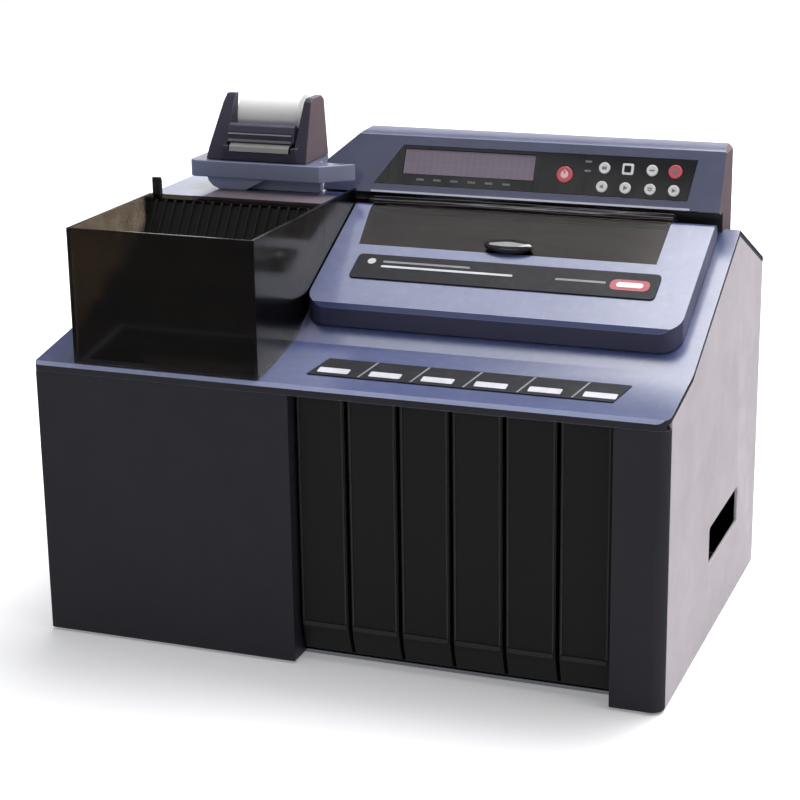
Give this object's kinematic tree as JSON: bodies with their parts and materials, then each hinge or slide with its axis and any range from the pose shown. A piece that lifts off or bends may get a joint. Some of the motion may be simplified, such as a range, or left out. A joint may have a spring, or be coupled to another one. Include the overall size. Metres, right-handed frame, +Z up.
{
  "type": "coin sorting machine",
  "caption": "Desktop coin sorter with open smoked hopper, belt and rail sorting under a hinged lid, coin drawers in front, keyed display console and slip printer.",
  "frame": {"origin": "centre of the footprint, on the table under the rubber feet", "axes": "+Z up, +Y to the rear, +X to the operator's right; the drawers and the console face -Y"},
  "size_m": [0.53, 0.345, 0.426],
  "materials": {
    "charcoal_shell": "satin moulded plastic, dark navy charcoal",
    "deck_shell": "satin-gloss moulded plastic, steel blue",
    "side_shell": "fine-textured plastic, light warm grey",
    "console_shell": "satin moulded plastic, dark blue grey",
    "drawer_plastic": "glossy near-black plastic, faint olive",
    "smoked_acrylic": "smoked transparent acrylic, glossy",
    "black_plastic": "black moulded plastic",
    "gloss_panel": "glossy black overlay",
    "lcd_glass": "unlit purple-grey display glass",
    "key_white": "white key caps",
    "key_red": "red key caps",
    "steel": "plain sheet and machined steel",
    "belt_rubber": "matt black rubber",
    "paper": "white thermal paper",
    "circuit": "green circuit board"
  },
  "bodies": {
    "chassis": {"base_pan": "steel", "sort_rail": "steel", "feed_motor": "steel", "mechanism_plate": "steel", "transport_motor": "steel", "lid_hinge_rod": "steel", "power_supply": "steel", "foot_front_left": "belt_rubber", "foot_front_right": "belt_rubber", "foot_rear_left": "belt_rubber", "foot_rear_right": "belt_rubber", "drive_belt": "belt_rubber", "transport_belt": "belt_rubber", "left_side_panel": "side_shell", "right_side_panel": "side_shell", "rear_panel": "charcoal_shell", "front_left_cover": "charcoal_shell", "front_right_pillar": "charcoal_shell", "printer_housing": "charcoal_shell", "top_deck": "deck_shell", "rear_shelf": "deck_shell", "console_shell": "console_shell", "printer_platform": "console_shell", "label_strip": "gloss_panel", "display_panel": "gloss_panel", "drawer_frame": "black_plastic", "coin_chutes": "black_plastic", "printer_head": "black_plastic", "power_inlet": "black_plastic", "hopper_ramp": "drawer_plastic", "hopper_bin": "smoked_acrylic", "lcd_screen": "lcd_glass", "paper_strip": "paper", "control_board": "circuit"},
    "lid": {"lid_frame": "deck_shell", "lid_badge": "gloss_panel"},
    "coin_window": {"window_flap": "smoked_acrylic", "window_knob": "black_plastic"},
    "feed_disc": {"feed_disc": "steel"},
    "motor_pulley": {"motor_pulley": "steel"},
    "belt_drive_pulley": {"belt_drive_pulley": "steel"},
    "belt_idler_pulley": {"belt_idler_pulley": "steel"},
    "paper_roll": {"paper_roll": "paper"},
    "platen_roller": {"platen_roller": "belt_rubber"},
    "power_button": {"power_button": "key_red"},
    "power_switch": {"power_switch": "black_plastic"},
    "key_print": {"key_print": "key_white"},
    "key_select": {"key_select": "key_white"},
    "key_clear": {"key_clear": "key_white"},
    "key_stop": {"key_stop": "key_red"},
    "key_left": {"key_left": "key_white"},
    "key_right": {"key_right": "key_white"},
    "key_mode": {"key_mode": "key_white"},
    "key_start": {"key_start": "key_white"},
    "drawer_1_body": {"drawer_1": "drawer_plastic"},
    "drawer_2_body": {"drawer_2": "drawer_plastic"},
    "drawer_3_body": {"drawer_3": "drawer_plastic"},
    "drawer_4_body": {"drawer_4": "drawer_plastic"},
    "drawer_5_body": {"drawer_5": "drawer_plastic"},
    "drawer_6_body": {"drawer_6": "drawer_plastic"}
  },
  "joints": [
    {"name": "drawer_1_slide", "type": "slide", "parent": "chassis", "child": "drawer_1_body", "axis": [0, -1, 0], "range_m": [0, 0.18]},
    {"name": "drawer_2_slide", "type": "slide", "parent": "chassis", "child": "drawer_2_body", "axis": [0, -1, 0], "range_m": [0, 0.18]},
    {"name": "drawer_3_slide", "type": "slide", "parent": "chassis", "child": "drawer_3_body", "axis": [0, -1, 0], "range_m": [0, 0.18]},
    {"name": "drawer_4_slide", "type": "slide", "parent": "chassis", "child": "drawer_4_body", "axis": [0, -1, 0], "range_m": [0, 0.18]},
    {"name": "drawer_5_slide", "type": "slide", "parent": "chassis", "child": "drawer_5_body", "axis": [0, -1, 0], "range_m": [0, 0.18]},
    {"name": "drawer_6_slide", "type": "slide", "parent": "chassis", "child": "drawer_6_body", "axis": [0, -1, 0], "range_m": [0, 0.18]},
    {"name": "lid_hinge", "type": "hinge", "parent": "chassis", "child": "lid", "pos_m": [0.091, 0.0455, 0.3295], "axis": [-1, 0, 0], "range_deg": [0, 55]},
    {"name": "coin_window_hinge", "type": "hinge", "parent": "lid", "child": "coin_window", "pos_m": [0.085, 0.0455, 0.3295], "axis": [-1, 0, 0], "range_deg": [0, 40]},
    {"name": "power_button_press", "type": "slide", "parent": "chassis", "child": "power_button", "axis": [0, 0.9063, -0.4226], "range_m": [0, 0.0012], "stiffness_N_per_m": 400, "springref_m": -0.0005},
    {"name": "key_print_press", "type": "slide", "parent": "chassis", "child": "key_print", "axis": [0, 0.9063, -0.4226], "range_m": [0, 0.0012], "stiffness_N_per_m": 400, "springref_m": -0.0005},
    {"name": "key_select_press", "type": "slide", "parent": "chassis", "child": "key_select", "axis": [0, 0.9063, -0.4226], "range_m": [0, 0.0012], "stiffness_N_per_m": 400, "springref_m": -0.0005},
    {"name": "key_clear_press", "type": "slide", "parent": "chassis", "child": "key_clear", "axis": [0, 0.9063, -0.4226], "range_m": [0, 0.0012], "stiffness_N_per_m": 400, "springref_m": -0.0005},
    {"name": "key_stop_press", "type": "slide", "parent": "chassis", "child": "key_stop", "axis": [0, 0.9063, -0.4226], "range_m": [0, 0.0012], "stiffness_N_per_m": 400, "springref_m": -0.0005},
    {"name": "key_left_press", "type": "slide", "parent": "chassis", "child": "key_left", "axis": [0, 0.9063, -0.4226], "range_m": [0, 0.0012], "stiffness_N_per_m": 400, "springref_m": -0.0005},
    {"name": "key_right_press", "type": "slide", "parent": "chassis", "child": "key_right", "axis": [0, 0.9063, -0.4226], "range_m": [0, 0.0012], "stiffness_N_per_m": 400, "springref_m": -0.0005},
    {"name": "key_mode_press", "type": "slide", "parent": "chassis", "child": "key_mode", "axis": [0, 0.9063, -0.4226], "range_m": [0, 0.0012], "stiffness_N_per_m": 400, "springref_m": -0.0005},
    {"name": "key_start_press", "type": "slide", "parent": "chassis", "child": "key_start", "axis": [0, 0.9063, -0.4226], "range_m": [0, 0.0012], "stiffness_N_per_m": 400, "springref_m": -0.0005},
    {"name": "feed_disc_spin", "type": "hinge", "parent": "chassis", "child": "feed_disc", "pos_m": [-0.14, -0.0775, 0.215], "axis": [0, 0, 1], "continuous": true},
    {"name": "motor_pulley_spin", "type": "hinge", "parent": "chassis", "child": "motor_pulley", "pos_m": [-0.215, 0.0325, 0.195], "axis": [0, 0, 1], "continuous": true},
    {"name": "belt_drive_spin", "type": "hinge", "parent": "chassis", "child": "belt_drive_pulley", "pos_m": [-0.04, -0.0275, 0.246], "axis": [0, 1, 0], "continuous": true},
    {"name": "belt_idler_spin", "type": "hinge", "parent": "chassis", "child": "belt_idler_pulley", "pos_m": [0.232, -0.0275, 0.246], "axis": [0, 1, 0], "continuous": true},
    {"name": "paper_roll_spin", "type": "hinge", "parent": "chassis", "child": "paper_roll", "pos_m": [-0.15, 0.072, 0.406], "axis": [1, 0, 0], "continuous": true},
    {"name": "platen_spin", "type": "hinge", "parent": "chassis", "child": "platen_roller", "pos_m": [-0.15, 0.0455, 0.3806], "axis": [1, 0, 0], "continuous": true},
    {"name": "power_switch_rock", "type": "hinge", "parent": "chassis", "child": "power_switch", "pos_m": [-0.18, 0.1655, 0.042], "axis": [1, 0, 0], "range_deg": [-5, 5]}
  ],
  "couplings": [
    {"joint": "motor_pulley_spin", "follows": "feed_disc_spin", "ratio": 2.8},
    {"joint": "belt_idler_spin", "follows": "belt_drive_spin", "ratio": 1},
    {"joint": "platen_spin", "follows": "paper_roll_spin", "ratio": -4.2391}
  ]
}
